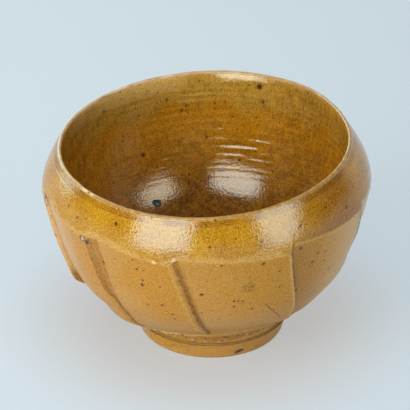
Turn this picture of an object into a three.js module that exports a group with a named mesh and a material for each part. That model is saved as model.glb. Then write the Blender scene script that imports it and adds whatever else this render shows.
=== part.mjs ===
// A hand-made stoneware tea bowl: thrown on the wheel, its sides cut into ten overlapping facets,
// a foot ring luted under it, and glaze fired on in fields that break thin at every sharp edge.
// Millimetres, +Z up, the foot ring stands on Z = 0. Angles are in degrees, from the front (-Y)
// towards the right (+X). A section point is [radius, height], before the hand's lean and oval.
import * as THREE from "three";

// Foot ring
const footHeight = 7.2; // table to the shelf where the ring meets the bowl
const footShelfRadius = 29.3; // outer edge of the shelf
const footStandRadius = 27; // outer edge at the table, so the ring tapers in
const footInnerRadius = 21.4;
const footInnerTaper = 0.8; // how much narrower the recess is at its top
const footEdgeBreak = 0.8; // the worn edges that touch the table

// Underside of the bowl, inside the ring
const recessRise = 1.4; // the turning tool has cut this far up into the floor
const recessPeak = 0.9; // the low peak that the tool leaves at the middle
const recessCorner = 1.4;

// Collar: the cove between the foot ring and the facets
const collarRise = 9; // shelf to the facets' lower edge
const collarInset = 1.3; // width of the bare shelf outside the cove
const facetEdgeRadius = 37.4; // the facets' lower edge, which overhangs the collar
const facetLipThickness = 0.8;
const facetLipReturn = 2.2; // flat underside of the lip, before the cove begins

// Facets: the cut side, from its lower edge up to the belly. A pull is a curve's handle, measured
// [out, up] from the end it belongs to.
const facetRise = 45.8;
const bellyRadius = 62.4;
const facetLowerPull = [14.9, 11.6];
const facetUpperPull = [-5.9, -30];

// Shoulder and lip: the thrown wall above the cuts
const shoulderRise = 16.4; // belly to lip
const uncutProud = 1; // the thrown wall stood this far outside the belly before it was cut
const uncutDrop = 8; // how far below the belly the thrown wall is traced
const shoulderPull = [0.2, 5.5]; // from the belly
const lipRadius = 56.6; // outside of the lip
const lipThickness = 1.6;
const lipRound = 0.9; // height of the lip's rounded crown

// Inside
const floorThickness = 5.4; // over the recess
const wallThickness = 6.8; // at the belly, before the cutting
const wellWidth = 37; // the floor runs this far out before it turns up
const wallPull = [-2.4, -28]; // from the inside of the belly
const lipTaper = 6; // height over which the wall draws in to the lip

// The ten cuts, round the bowl: where each step stands at the belly, how many degrees it drifts to
// the right on its way down and how late it does so (1 is a straight run), how far its proud edge
// stands out at the belly, how deep the step is at its top and at its foot, how far its proud edge
// sticks out as a heel, how high above the facets' lower edge, and how high the step itself ends
const cuts = [
  { angle: -75.4, slant: 11, bow: 1, out: -0.2, top: 1.7, foot: 1.6, heel: 1.1, heelRise: 15.6, end: 11.8 },
  { angle: -45.6, slant: 7, bow: 1, out: -0.3, top: 1.1, foot: 1.4, heel: 0, heelRise: 4, end: 0 },
  { angle: -12.6, slant: 8.8, bow: 1, out: 0.4, top: 1.1, foot: 1.9, heel: 0, heelRise: 4, end: 0 },
  { angle: 28.5, slant: 13, bow: 1.5, out: 0.7, top: 1.3, foot: 1.1, heel: 0.3, heelRise: 4, end: 0 },
  { angle: 66.5, slant: 11, bow: 1, out: 0.6, top: 0.9, foot: 1.4, heel: 0.6, heelRise: 9.8, end: 0 },
  { angle: 103, slant: 9, bow: 1.2, out: 0.5, top: 1.6, foot: 1.4, heel: 0.4, heelRise: 4, end: 0 },
  { angle: 139, slant: 10, bow: 1, out: 0.1, top: 1.2, foot: 1.8, heel: 0.3, heelRise: 4, end: 0 },
  { angle: 175, slant: 8.5, bow: 1.3, out: -0.1, top: 1.7, foot: 1.5, heel: 0.4, heelRise: 4, end: 0 },
  { angle: 212, slant: 9.5, bow: 1, out: 0.2, top: 1.1, foot: 1.6, heel: 0.3, heelRise: 4, end: 0 },
  { angle: 248, slant: 10.5, bow: 1.1, out: -0.3, top: 1.5, foot: 2, heel: 0.4, heelRise: 4, end: 0 },
];
const stepWidth = 1.7; // how wide a step's wall is, round the bowl
const cutFade = 3; // height over which a step dies away above the facets' lower edge
const cutBite = 1.5; // how early a cut comes up out of the clay: 1 is an even slope
const heelAbove = 4.5; // height over which a heel swells out, coming down
const heelBelow = 1.4; // and height over which it dies away under its tip
const heelHold = 6; // how closely a heel keeps to its own edge

// The lower edge hangs out further to the left and right of the front: at which angle, how far, and
// over how many degrees it dies away
const edgeSwells = [
  { angle: -52, out: 2.8, width: 17 },
  { angle: 60, out: 2.1, width: 17 },
];
const swellRise = 3.3; // height of its fullest part above the lower edge
const swellSpread = 5.5;

// The fourth cut runs flatter than the others near its right end
const flatRise = 22; // above the facets' lower edge
const flatSpread = 8;
const flatDepth = 1.5;
const flatStart = 50; // the angles between which it comes in, and goes out again
const flatFull = 70;
const flatFade = 96;
const flatEnd = 102;

// The hand's touch, which grows from nothing at the foot ring
const mouthOval = 0.043; // the mouth is pressed longer from front to back than from side to side
const mouthSquare = 0.006;
const ovalGrowth = 3; // the power by which these grow with height
const backLeftPress = { angle: 205, by: -0.015, width: 30 }; // where the mouth is pushed in
const backRightPress = { angle: 132, by: 0.012, width: 22 }; // and where it stands out
const backDrop = 0.6; // how much lower the lip is at the back
const sideFullness = 0.0095; // how much fuller the shoulder is at the left and right
const sideRise = 59.8; // height of that above the foot ring
const sideSpread = 7;
const leanAngle = 2.2; // the bowl leans to the left on its foot
const setBack = 1.7; // and sits a little behind the ring's middle

// Glaze
const glazeThickness = 0.6; // inside, shoulder and collar
const thinGlazeThickness = 0.35; // over the cut facets and the foot
const seat = 0.15; // gap between a coat and its clay, and between ring and bowl
const edgeBreak = 0.5; // bare clay left along a sharp edge, where the glaze has run thin

// How finely the forms are divided
const columnsAcrossFacet = 2;
const footColumns = 48;
const facetRows = 7;
const lowRowRise = 4; // the first row above the facets' lower edge
const shoulderRows = 5;
const collarRows = 5;
const wallRows = 10;
const halvings = 40; // steps in finding a point on a curve

// Where the stretches meet
const facetEdgeHeight = footHeight + collarRise;
const bellyHeight = facetEdgeHeight + facetRise;
const swellHeight = facetEdgeHeight + swellRise;
const flatHeight = facetEdgeHeight + flatRise;
const sideHeight = footHeight + sideRise;
const lipHeight = bellyHeight + shoulderRise;
const lipEdgeHeight = lipHeight - lipRound;
const facetUndersideHeight = facetEdgeHeight - facetLipThickness;
const collarRadius = footShelfRadius - collarInset;
const undersideHeight = footHeight + seat;
const recessHeight = undersideHeight + recessRise;
const recessRadius = footInnerRadius - footInnerTaper;
const floorHeight = recessHeight + floorThickness;
const insideBellyRadius = bellyRadius - wallThickness;

const clay = new THREE.MeshStandardMaterial({ color: 0xb98a4c, roughness: 0.55, metalness: 0 });
const amberGlaze = new THREE.MeshStandardMaterial({ color: 0xb5811f, roughness: 0.14, metalness: 0 });
const brownGlaze = new THREE.MeshStandardMaterial({ color: 0x8c5a12, roughness: 0.16, metalness: 0 });
const satinGlaze = new THREE.MeshStandardMaterial({ color: 0xba8440, roughness: 0.4, metalness: 0 });

const radians = THREE.MathUtils.degToRad;
const degrees = THREE.MathUtils.radToDeg;
const clamp = THREE.MathUtils.clamp;
const mix = THREE.MathUtils.lerp;
const smooth = THREE.MathUtils.smoothstep;

const steps = (from, to, count) =>
  Array.from({ length: count + 1 }, (_, i) => mix(from, to, i / count));
const bell = (way, spread) => Math.exp(-((way / spread) ** 2));
const turnBetween = (angle, from) => THREE.MathUtils.euclideanModulo(angle - from + 180, 360) - 180;
const pulled = ([radius, height], [out, up]) => [radius + out, height + up];
const sectionOf = (curve, rows) => curve.getPoints(rows).map((p) => [p.x, p.y]);

// A curve through two section points, bent by one handle or by two
function bezier(...points) {
  const [a, b, c, d] = points.map((p) => new THREE.Vector2(...p));
  return d ? new THREE.CubicBezierCurve(a, b, c, d) : new THREE.QuadraticBezierCurve(a, b, c);
}

// The highest value between two bounds for which a test still holds, found by halving
function lastWhere(test, from, to) {
  let low = from;
  let high = to;
  for (let i = 0; i < halvings; i++) {
    const middle = (low + high) / 2;
    if (test(middle)) low = middle;
    else high = middle;
  }
  return low;
}

// The radius of a rising curve at a height. Past either end it runs on straight.
function radiusAt(curve, height) {
  const share = lastWhere((t) => curve.getPoint(t).y < height, 0, 1);
  const point = curve.getPoint(share);
  const way = curve.getTangent(share);
  return point.x + ((height - point.y) * way.x) / way.y;
}

const facetEdge = [facetEdgeRadius, facetEdgeHeight];
const belly = [bellyRadius, bellyHeight];
const lipEdge = [lipRadius, lipEdgeHeight];

const cutCurve = bezier(
  facetEdge,
  pulled(facetEdge, facetLowerPull),
  pulled(belly, facetUpperPull),
  belly,
);
const shoulderCurve = bezier(
  pulled(belly, [uncutProud, -uncutDrop]),
  pulled(belly, shoulderPull),
  lipEdge,
);

// How far the lower edge swells out, at a height
const swellAt = (height, column) => column.swell * bell(height - swellHeight, swellSpread);

// How far a cut's proud edge sticks out at a height
function heelAt(height, cut) {
  const above = height - facetEdgeHeight - cut.heelRise;
  return cut.heel * bell(above, above > 0 ? heelAbove : heelBelow);
}

// The cut surface at a height, at a share of the way from one step to the next, and of the cut's
// depth. The step dies away at the lower edge, where the foot was turned after the cutting.
function facetRadius(height, column) {
  const { cut, next, across, share, angle } = column;
  const up = clamp((height - facetEdgeHeight) / facetRise, 0, 1);
  const end = facetEdgeHeight + cut.end;
  const depth = mix(cut.foot, cut.top, up) * share * smooth(height, end, end + cutFade);
  const heel =
    across > 0 ? heelAt(height, next) * across ** heelHold : heelAt(height, cut) * (1 - share);
  const flatAcross = smooth(angle, flatStart, flatFull) * (1 - smooth(angle, flatFade, flatEnd));
  const flat = flatDepth * flatAcross * bell(height - flatHeight, flatSpread);
  const out = mix(cut.out, next.out, across) * up;
  return radiusAt(cutCurve, height) + out - depth + heel + swellAt(height, column) - flat;
}

// The height where a cut breaks out through the thrown shoulder
const cutTop = (column) =>
  lastWhere(
    (height) => facetRadius(height, column) < radiusAt(shoulderCurve, height),
    bellyHeight - uncutDrop,
    lipEdgeHeight,
  );

// Columns run down the bowl along the steps. Each lies a share of the way across from its own cut's
// step to the next, at a share of the cut's depth, and on the wall of a step it also stands aside
// from it, in millimetres round the bowl.
const columns = [];
cuts.forEach((cut, i) => {
  const next = cuts[(i + 1) % cuts.length];
  const span = (next.angle - cut.angle + 360) % 360;
  const add = (across, share, aside) => {
    const angle = cut.angle + span * across;
    const foot = angle + mix(cut.slant, next.slant, across);
    const swell = edgeSwells.reduce(
      (sum, s) => sum + s.out * bell(turnBetween(foot, s.angle), s.width),
      0,
    );
    columns.push({ cut, next, across, share, aside, angle, swell });
  };
  add(0, 0, 0);
  add(0, edgeBreak / stepWidth, edgeBreak);
  add(0, 1, stepWidth);
  for (const across of steps(0, 1, columnsAcrossFacet + 1).slice(1, -1))
    add(across, (1 - across) ** cutBite, 0);
  add(1, 0, -edgeBreak);
});
const columnsPerCut = columns.length / cuts.length;
columns.forEach((column, i) => {
  column.even = cuts[0].angle + (360 * i) / columns.length;
  column.top = cutTop(column);
});

// A column's angle at a height: slanting along the steps over the facets, and evened out towards
// the lip and the foot, where the bowl is round
function columnAngle(column, radius, height) {
  const down = 1 - clamp((height - facetEdgeHeight) / facetRise, 0, 1);
  const { cut, next, across } = column;
  const slant = mix(cut.slant * down ** cut.bow, next.slant * down ** next.bow, across);
  const along = column.angle + slant + degrees(column.aside / Math.max(radius, facetEdgeRadius));
  const evened =
    height > bellyHeight
      ? smooth(height, column.top + edgeBreak, lipEdgeHeight)
      : 1 - smooth(height, footHeight, facetUndersideHeight);
  return mix(along, column.even, evened);
}

// A wheel-true point as the hand left it: pressed oval, leaning and set back
function shaped(radius, angle, height) {
  const presses = [backLeftPress, backRightPress];
  const turn = radians(angle);
  const grown = clamp((height - footHeight) / (lipHeight - footHeight), 0, 1) ** ovalGrowth;
  const oval = mouthOval * Math.cos(2 * turn) + mouthSquare * Math.cos(4 * turn);
  const press = presses.reduce(
    (sum, p) => sum + p.by * bell(turnBetween(angle, p.angle), p.width),
    0,
  );
  const full = sideFullness * Math.sin(turn) ** 4 * bell(height - sideHeight, sideSpread);
  const drop = backDrop * grown * smooth(-Math.cos(turn), 0.2, 0.9);
  const pressed = radius * (1 + grown * (oval + press) + full);
  const x = pressed * Math.sin(turn);
  const y = -pressed * Math.cos(turn);
  const touch = smooth(height, footHeight, facetEdgeHeight);
  const lean = radians(leanAngle) * touch;
  return new THREE.Vector3(
    x - lean * (height - footHeight),
    y + setBack * touch,
    height - drop + lean * x,
  );
}

const onColumn = (column, [radius, height]) =>
  shaped(radius, columnAngle(column, radius, height), height);

// A section moved along its own normals, by the same amount all the way: to the right of its run
function offsetSection(section, amount) {
  return section.map(([radius, height], i) => {
    const before = section[Math.max(i - 1, 0)];
    const after = section[Math.min(i + 1, section.length - 1)];
    const along = new THREE.Vector2(after[0] - before[0], after[1] - before[1]).normalize();
    return [radius + along.y * amount, height - along.x * amount];
  });
}

// Faces between neighbouring rings of points, each ring running anticlockwise seen from above.
// Rings listed up the outside and down the inside give faces that point out. Every quad is split from
// its lower left to its upper right corner, so a coat's triangles match those of the clay under it.
function ringFaces(rings, closeSection) {
  const around = rings[0].length;
  const heightOf = (ring) => ring.reduce((sum, point) => sum + point.z, 0);
  const faces = [];
  const last = closeSection ? rings.length : rings.length - 1;
  for (let k = 0; k < last; k++) {
    const next = (k + 1) % rings.length;
    const rising = heightOf(rings[next]) > heightOf(rings[k]);
    for (let i = 0; i < around; i++) {
      const j = (i + 1) % around;
      const [a, b, c, d] = [k * around + i, k * around + j, next * around + j, next * around + i];
      if (rising) faces.push(a, b, c, a, c, d);
      else faces.push(a, b, d, b, c, d);
    }
  }
  return faces;
}

function geometryOf(points, faces) {
  const geometry = new THREE.BufferGeometry().setFromPoints(points);
  geometry.setIndex(faces);
  geometry.computeVertexNormals();
  return geometry;
}

// A ring-shaped solid: its section is a closed loop, listed up the outside and down the inside
const ringSolid = (rings) => geometryOf(rings.flat(), ringFaces(rings, true));

// A solid closed at the axis: its section runs from the axis underneath to the axis inside
function cupSolid(rings, underside, floor) {
  const points = [...rings.flat(), underside, floor];
  const around = rings[0].length;
  const faces = ringFaces(rings, false);
  const top = (rings.length - 1) * around;
  for (let i = 0; i < around; i++) {
    const j = (i + 1) % around;
    faces.push(points.length - 2, j, i, points.length - 1, top + i, top + j);
  }
  return geometryOf(points, faces);
}

// A slab between two matching grids of points, closed round its four edges. Rows run up the outside,
// and its quads are split as those of the rings are.
function slabSolid(outer, inner) {
  const rows = outer.length;
  const across = outer[0].length;
  const at = (side, row, column) => (side * rows + row) * across + column;
  const faces = [];
  const quad = (a, b, c, d) => faces.push(a, b, c, a, c, d);
  for (let r = 0; r < rows - 1; r++) {
    for (let c = 0; c < across - 1; c++) {
      quad(at(0, r, c), at(0, r, c + 1), at(0, r + 1, c + 1), at(0, r + 1, c));
      quad(at(1, r, c), at(1, r + 1, c), at(1, r + 1, c + 1), at(1, r, c + 1));
    }
    const right = across - 1;
    quad(at(0, r, right), at(1, r, right), at(1, r + 1, right), at(0, r + 1, right));
    quad(at(0, r, 0), at(0, r + 1, 0), at(1, r + 1, 0), at(1, r, 0));
  }
  const top = rows - 1;
  for (let c = 0; c < across - 1; c++) {
    quad(at(0, 0, c), at(1, 0, c), at(1, 0, c + 1), at(0, 0, c + 1));
    quad(at(0, top, c), at(0, top, c + 1), at(1, top, c + 1), at(1, top, c));
  }
  return geometryOf([...outer.flat(), ...inner.flat()], faces);
}

// The clay's sections, in stretches that the glaze coats share. A stretch has as many points in
// every column, so a coat lies on the same flats as the clay under it.
const collarSection = sectionOf(
  bezier(
    [collarRadius, undersideHeight],
    [collarRadius, facetUndersideHeight],
    [facetEdgeRadius - facetLipReturn, facetUndersideHeight],
  ),
  collarRows,
);

function facetSection(column) {
  const between = steps(facetEdgeHeight + lowRowRise, column.top, facetRows).slice(0, -1);
  const heights = [
    facetEdgeHeight,
    facetEdgeHeight + edgeBreak,
    ...between,
    column.top - edgeBreak,
    column.top,
  ];
  return heights.map((height) => [facetRadius(height, column), height]);
}

function shoulderSection(column) {
  const heights = steps(column.top + edgeBreak, lipEdgeHeight - edgeBreak, shoulderRows);
  return [...heights, lipEdgeHeight].map((height) => [radiusAt(shoulderCurve, height), height]);
}

// The inside, from the edge of the floor's middle up to the lip
const insideBelly = [insideBellyRadius, bellyHeight];
const insideLipEdge = [lipRadius - lipThickness, lipEdgeHeight];
const insideSection = [
  ...sectionOf(
    bezier([0, floorHeight], [wellWidth, floorHeight], pulled(insideBelly, wallPull), insideBelly),
    wallRows,
  ).slice(1),
  ...sectionOf(
    bezier(insideBelly, [insideBellyRadius, lipEdgeHeight - lipTaper], insideLipEdge),
    shoulderRows,
  ).slice(1, -1),
  pulled(insideLipEdge, [0, -edgeBreak]),
  insideLipEdge,
];

const rings = (section) => {
  const sections = columns.map(section);
  return sections[0].map((_, k) => columns.map((column, i) => onColumn(column, sections[i][k])));
};

const bowl = new THREE.Group();

function addPart(name, geometry, material) {
  const mesh = new THREE.Mesh(geometry, material);
  mesh.name = name;
  bowl.add(mesh);
}

// The thrown and cut wall with its floor, as one body of clay
function clayBody() {
  const outline = (column) => [
    [recessRadius - recessCorner, recessHeight],
    [recessRadius, undersideHeight],
    ...collarSection,
    [
      facetEdgeRadius - facetLipThickness / 2 + swellAt(facetUndersideHeight, column),
      facetUndersideHeight,
    ],
    ...facetSection(column),
    ...shoulderSection(column),
    [lipRadius - lipThickness / 2, lipHeight],
    ...[...insideSection].reverse(),
  ];
  const peak = shaped(0, 0, recessHeight - recessPeak);
  return cupSolid(rings(outline), peak, shaped(0, 0, floorHeight));
}

// The ring the bowl stands on, thicker at its shelf than at the table
const footCircle = ([radius, height]) =>
  steps(0, 360, footColumns).slice(0, -1).map((angle) => shaped(radius, angle, height));

function footRing() {
  const section = [
    [footInnerRadius + footEdgeBreak, 0],
    [footStandRadius - footEdgeBreak, 0],
    [footStandRadius, footEdgeBreak],
    [footShelfRadius, footHeight],
    [recessRadius, footHeight],
    [footInnerRadius, footEdgeBreak],
  ];
  return ringSolid(section.map(footCircle));
}

// A coat that runs all the way round: the same section twice, at the glaze's face and at its back
function coatRing(section, thickness) {
  const face = rings((column) => offsetSection(section(column), seat + thickness));
  const back = rings((column) => offsetSection(section(column), seat));
  return ringSolid([...face, ...back.reverse()]);
}

// The coat inside, which covers the floor and runs up to just under the lip
function insideCoat() {
  const section = insideSection.slice(0, -1).reverse();
  const back = rings(() => offsetSection(section, seat));
  const face = rings(() => offsetSection(section, seat + glazeThickness));
  const underside = shaped(0, 0, floorHeight + seat);
  const floor = shaped(0, 0, floorHeight + seat + glazeThickness);
  return cupSolid([...back.reverse(), ...face], underside, floor);
}

// The coat on one facet: up the step's wall to its bare edge, and across the cut to the next step
function facetCoat(index) {
  const first = index * columnsPerCut + 1;
  const grid = (amount) => {
    const lifted = (column) => offsetSection(facetSection(column).slice(1, -1), amount);
    return rings(lifted).map((ring) => ring.slice(first, first + columnsPerCut - 1));
  };
  return slabSolid(grid(seat + thinGlazeThickness), grid(seat));
}

// The thin coat on the foot ring's wall, which stops short of the table and of the shelf
function footCoat() {
  const taper = (footShelfRadius - footStandRadius) / (footHeight - footEdgeBreak);
  const wall = [footEdgeBreak + edgeBreak, footHeight - edgeBreak].map((height) => [
    footStandRadius + taper * (height - footEdgeBreak),
    height,
  ]);
  const face = offsetSection(wall, seat + thinGlazeThickness);
  const back = offsetSection(wall, seat);
  return ringSolid([...face, ...back.reverse()].map(footCircle));
}

addPart("clay_body", clayBody(), clay);
addPart("foot_ring", footRing(), clay);
addPart("inside_glaze", insideCoat(), brownGlaze);
addPart(
  "shoulder_glaze",
  coatRing((column) => shoulderSection(column).slice(0, -1), glazeThickness),
  amberGlaze,
);
cuts.forEach((_, i) =>
  addPart(`facet_glaze_${String(i + 1).padStart(2, "0")}`, facetCoat(i), satinGlaze));
addPart("collar_glaze", coatRing(() => collarSection.slice(1), glazeThickness), amberGlaze);
addPart("foot_glaze", footCoat(), satinGlaze);

// The origin is under the middle of the whole bowl, on the table
const middle = new THREE.Box3().setFromObject(bowl).getCenter(new THREE.Vector3());
bowl.children.forEach((mesh) => mesh.position.set(-middle.x, -middle.y, 0));

export default bowl;
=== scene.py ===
import math

import bpy
import numpy as np
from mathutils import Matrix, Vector


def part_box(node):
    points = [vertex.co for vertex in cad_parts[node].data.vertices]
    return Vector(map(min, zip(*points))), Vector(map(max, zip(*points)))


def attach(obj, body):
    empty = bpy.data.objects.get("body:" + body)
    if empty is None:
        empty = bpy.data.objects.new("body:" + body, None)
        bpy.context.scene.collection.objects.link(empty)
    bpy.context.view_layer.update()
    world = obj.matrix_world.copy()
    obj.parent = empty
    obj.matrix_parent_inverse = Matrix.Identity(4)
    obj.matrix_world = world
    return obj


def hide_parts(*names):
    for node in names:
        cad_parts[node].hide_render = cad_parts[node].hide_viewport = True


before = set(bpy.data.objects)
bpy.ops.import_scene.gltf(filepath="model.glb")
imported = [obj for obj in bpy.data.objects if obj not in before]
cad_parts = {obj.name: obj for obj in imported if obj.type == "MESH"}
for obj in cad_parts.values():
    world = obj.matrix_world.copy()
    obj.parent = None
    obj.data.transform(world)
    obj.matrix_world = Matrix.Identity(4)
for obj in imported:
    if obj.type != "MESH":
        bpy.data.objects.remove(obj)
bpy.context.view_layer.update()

# The camera stands a metre in front of the bowl and looks down on it through a long lens. It aims
# at a point inside the bowl, measured from the middle of the foot ring on the table.
mm = 0.001
ring_low, ring_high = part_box("foot_ring")
ring_middle = np.array([(ring_low.x + ring_high.x) / 2, (ring_low.y + ring_high.y) / 2, 0])
aim = ring_middle + np.array([-2.52, 0, 51.2]) * mm
camera_distance = 1.0
camera_elevation = math.radians(29.45)
lens_length, film_width = 231.8, 36
camera_data = bpy.data.cameras.new("camera")
camera_data.lens = lens_length
camera_data.sensor_width = film_width
camera = bpy.data.objects.new("camera", camera_data)
camera_way = np.array([0, -math.cos(camera_elevation), math.sin(camera_elevation)])
camera.location = aim + camera_way * camera_distance
camera.rotation_euler = (math.pi / 2 - camera_elevation, 0, 0)
bpy.context.scene.collection.objects.link(camera)
bpy.context.scene.camera = camera
bpy.context.scene.view_settings.view_transform = "Standard"


# The floor is a sheet of pale blue-white paper that runs out past the view on every side. It is matt.
# Close round the foot it is painted warmer and greyer, a painted shade and warm bounce light from
# the bowl, and towards the right it is painted a little darker, a painted shade.
floor_reach = 3.0
left_paper = (0.665, 0.765, 0.825, 1)
right_paper_shade = (0.615, 0.71, 0.77, 1)
near_paper_bounce_shade = (0.622, 0.622, 0.617, 1)
left_to, right_from = -80 * mm, 120 * mm
warm_to, cool_from = 36 * mm, 90 * mm
lit_evenly = 0.68
near_mirrored, far_mirrored = 0.2, 1.0
near_to, far_from = 75 * mm, 130 * mm


def new_material(name):
    """An empty node tree with a Principled shader joined to its output."""
    material = bpy.data.materials.new(name)
    material.use_nodes = True
    tree = material.node_tree
    tree.nodes.clear()
    output = tree.nodes.new("ShaderNodeOutputMaterial")
    shader = tree.nodes.new("ShaderNodeBsdfPrincipled")
    tree.links.new(shader.outputs["BSDF"], output.inputs["Surface"])
    return material, tree, shader


def node(tree, kind, settings=None, **inputs):
    """A node of one kind. An input is given a value, or a socket to link it to. Names are the
    node's own input names, with spaces as underscores, or its number after an n."""
    made = tree.nodes.new("ShaderNode" + kind)
    for key, value in (settings or {}).items():
        setattr(made, key, value)
    for key, value in inputs.items():
        numbered = key[0] == "n" and key[1:].isdigit()
        socket = made.inputs[int(key[1:])] if numbered else made.inputs[key.replace("_", " ")]
        if isinstance(value, bpy.types.NodeSocket):
            tree.links.new(value, socket)
        else:
            socket.default_value = value
    return made


def worked(tree, operation, a, b, **settings):
    """The result of one step of arithmetic on two values or sockets."""
    return node(tree, "Math", {"operation": operation, **settings}, n0=a, n1=b).outputs[0]


def ranged(tree, value, low, high, to_low=0, to_high=1, kind="LINEAR"):
    """A value carried from one range to another and held at its ends."""
    made = node(tree, "MapRange", {"interpolation_type": kind}, Value=value, From_Min=low,
                From_Max=high, To_Min=to_low, To_Max=to_high)
    return made.outputs[0]


def blend_colour(tree, factor, a, b):
    """A colour between two, each a value or a socket."""
    return node(tree, "Mix", {"data_type": "RGBA"}, n0=factor, n6=a, n7=b).outputs[2]


floor_mesh = bpy.data.meshes.new("floor")
floor_corners = [(-1, -1, 0), (1, -1, 0), (1, 1, 0), (-1, 1, 0)]
floor_mesh.from_pydata(np.array(floor_corners) * floor_reach, [], [(0, 1, 2, 3)])
floor = bpy.data.objects.new("floor", floor_mesh)
bpy.context.scene.collection.objects.link(floor)
paper, tree, shader = new_material("paper")
place = node(tree, "TexCoord").outputs["Object"]
rightward = ranged(tree, node(tree, "SeparateXYZ", Vector=place).outputs["X"], left_to, right_from)
reach = node(tree, "VectorMath", {"operation": "DISTANCE"}, n0=place, n1=ring_middle).outputs["Value"]
cooler = ranged(tree, reach, warm_to, cool_from, kind="SMOOTHSTEP")
tone = blend_colour(tree, cooler, near_paper_bounce_shade, blend_colour(tree, rightward, left_paper, right_paper_shade))
tree.links.new(tone, shader.inputs["Base Color"])
shader.inputs["Roughness"].default_value = 0.9
shader.inputs["Specular IOR Level"].default_value = 0.1
seen = node(tree, "LightPath").outputs
straight = worked(tree, "MULTIPLY", seen["Is Camera Ray"], lit_evenly)
mirrored = ranged(tree, reach, near_to, far_from, near_mirrored, far_mirrored)
mirrored = worked(tree, "MULTIPLY", seen["Is Glossy Ray"], mirrored)
even = worked(tree, "MAXIMUM", straight, mirrored)
glow = node(tree, "Emission", Color=tone, Strength=1)
sheet = node(tree, "MixShader", n0=even, n1=shader.outputs[0], n2=glow.outputs[0])
tree.links.new(sheet.outputs[0], tree.nodes["Material Output"].inputs["Surface"])
floor_mesh.materials.append(paper)

# The light is a pale studio: an even soft sky, a broad lamp overhead and one on either side, and
# two tall softboxes in front, to the left and right, which the glaze mirrors.
bowl_heart = ring_middle + np.array([0, 0, 60]) * mm


def placed(name, data, azimuth, elevation, distance):
    """An object at a distance from the bowl's heart, with its -Z turned to the heart and its Y
    upwards. Azimuth is from the front to the right."""
    a, e = math.radians(azimuth), math.radians(elevation)
    way = np.array([math.sin(a) * math.cos(e), -math.cos(a) * math.cos(e), math.sin(e)])
    thing = bpy.data.objects.new(name, data)
    bpy.context.scene.collection.objects.link(thing)
    thing.location = bowl_heart + way * distance
    thing.rotation_euler = Vector(-way).to_track_quat("-Z", "Y").to_euler()
    return thing


def soft_lamp(name, azimuth, elevation, distance, width, height, watts):
    """A rectangular area lamp that lights the bowl but isn't itself mirrored in the glaze."""
    data = bpy.data.lights.new(name, "AREA")
    data.shape = "RECTANGLE"
    data.size, data.size_y = width, height
    data.energy = watts
    placed(name, data, azimuth, elevation, distance).visible_glossy = False


def softbox(name, azimuth, elevation, distance, width, height, strength, colour, outer):
    """The bright face of a softbox, which shows only in reflections. Its outer side runs through
    points that are given upwards, as shares of half its width and half its height."""
    mesh = bpy.data.meshes.new(name)
    w, h = width / 2, height / 2
    corners = [(-w, -h, 0)] + [(w * x, h * y, 0) for x, y in outer] + [(-w, h, 0)]
    mesh.from_pydata(corners, [], [tuple(range(len(corners)))])
    panel = placed(name, mesh, azimuth, elevation, distance)
    for rays in ("camera", "diffuse", "shadow", "transmission"):
        setattr(panel, "visible_" + rays, False)
    material = bpy.data.materials.new(name)
    material.use_nodes = True
    material.node_tree.nodes.clear()
    glow = node(material.node_tree, "Emission", Color=colour, Strength=strength)
    node(material.node_tree, "OutputMaterial", Surface=glow.outputs[0])
    mesh.materials.append(material)


soft_lamp("overhead_lamp", -20, 68, 1.6, 1.5, 1.5, 8)
soft_lamp("left_lamp", -48, 24, 1.5, 0.9, 1.1, 16.5)
soft_lamp("right_lamp", 50, 22, 1.5, 0.8, 1.0, 3.6)
softbox("left_softbox", -32.1, 20, 0.5, 0.366, 0.51, 8, (0.66, 0.92, 1, 1), [(1, -1), (1, 1)])
softbox("right_softbox", 54.5, 20, 0.5, 0.296, 0.51, 6.7, (0.80, 0.96, 0.90, 1),
        [(0.3, -1), (1, 0.05), (0.8, 1)])

# The glaze mirrors a room that is dark in front and pale behind, and brightest behind on the left
front_room = (0.03, 0.03, 0.03, 1)
left_room = (3.3, 4.6, 4.3, 1)
right_room = (0.92, 0.88, 0.74, 1)
front_to, back_from, room_skew = 0.41, 0.45, -0.04
left_end, right_start = -0.3, -0.05
sky_light, sky_strength = (0.95, 0.98, 1, 1), 0.42
sky = bpy.data.worlds.new("sky")
bpy.context.scene.world = sky
sky.use_nodes = True
tree = sky.node_tree
tree.nodes.clear()
way = node(tree, "SeparateXYZ", Vector=node(tree, "TexCoord").outputs["Generated"]).outputs
backward = worked(tree, "ADD", worked(tree, "MULTIPLY", way["X"], room_skew), way["Y"])
behind = blend_colour(tree, ranged(tree, way["X"], left_end, right_start), left_room, right_room)
room = blend_colour(tree, ranged(tree, backward, front_to, back_from), front_room, behind)
seen = node(tree, "LightPath").outputs
lighting = node(tree, "Background", Color=sky_light, Strength=sky_strength).outputs[0]
mirrored = node(tree, "Background", Color=room, Strength=1).outputs[0]
pictured = node(tree, "Background", Color=left_paper, Strength=1).outputs[0]
unseen = node(tree, "MixShader", n0=seen["Is Glossy Ray"], n1=lighting, n2=mirrored).outputs[0]
surround = node(tree, "MixShader", n0=seen["Is Camera Ray"], n1=unseen, n2=pictured).outputs[0]
node(tree, "OutputWorld", Surface=surround)


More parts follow.
